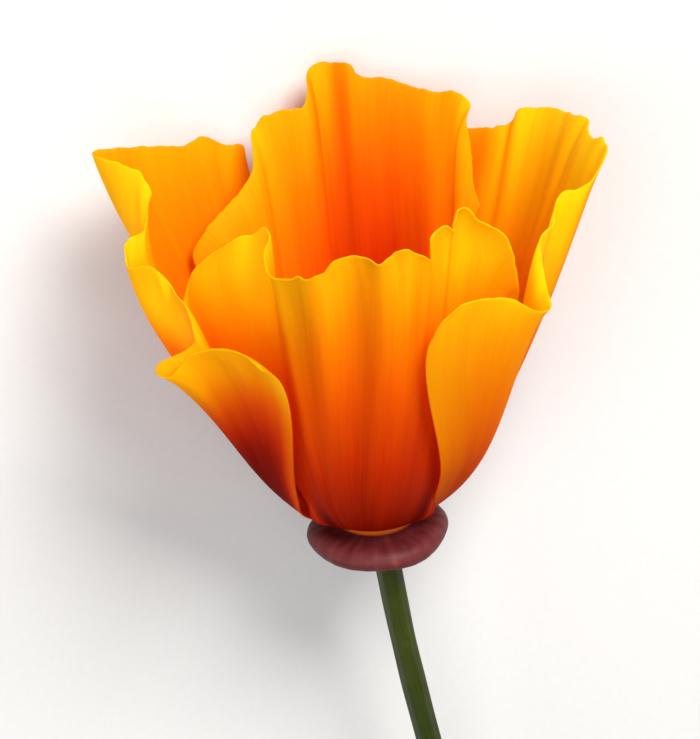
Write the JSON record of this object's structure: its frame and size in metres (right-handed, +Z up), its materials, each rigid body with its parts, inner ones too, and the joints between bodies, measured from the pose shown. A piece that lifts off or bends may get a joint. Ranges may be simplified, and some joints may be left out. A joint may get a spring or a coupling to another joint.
{
  "type": "poppy flower",
  "caption": "Cup-shaped orange poppy with waved petals, a flared pink rim under them and a cut stem, lying on its side.",
  "frame": {"origin": "under the middle of the flower's bounding box, on the surface that it lies on", "axes": "+Z up, +Y along the flower from the cut stem to the mouth, +X towards the right petal"},
  "size_m": [0.0428, 0.1088, 0.0328],
  "materials": {
    "petals": "silky, thin and slightly translucent, yellow rim shading to red-orange at the base",
    "receptacle": "dull waxy rose with dark red streaks",
    "stem": "smooth matt green, fresh",
    "stamens": "powdery",
    "pistil": "matt, fresh"
  },
  "bodies": {
    "root": {"petal_front": "petals", "petal_back": "petals", "petal_left": "petals", "petal_right": "petals", "receptacle": "receptacle", "stem": "stem", "stamens": "stamens", "pistil": "pistil"}
  },
  "joints": []
}
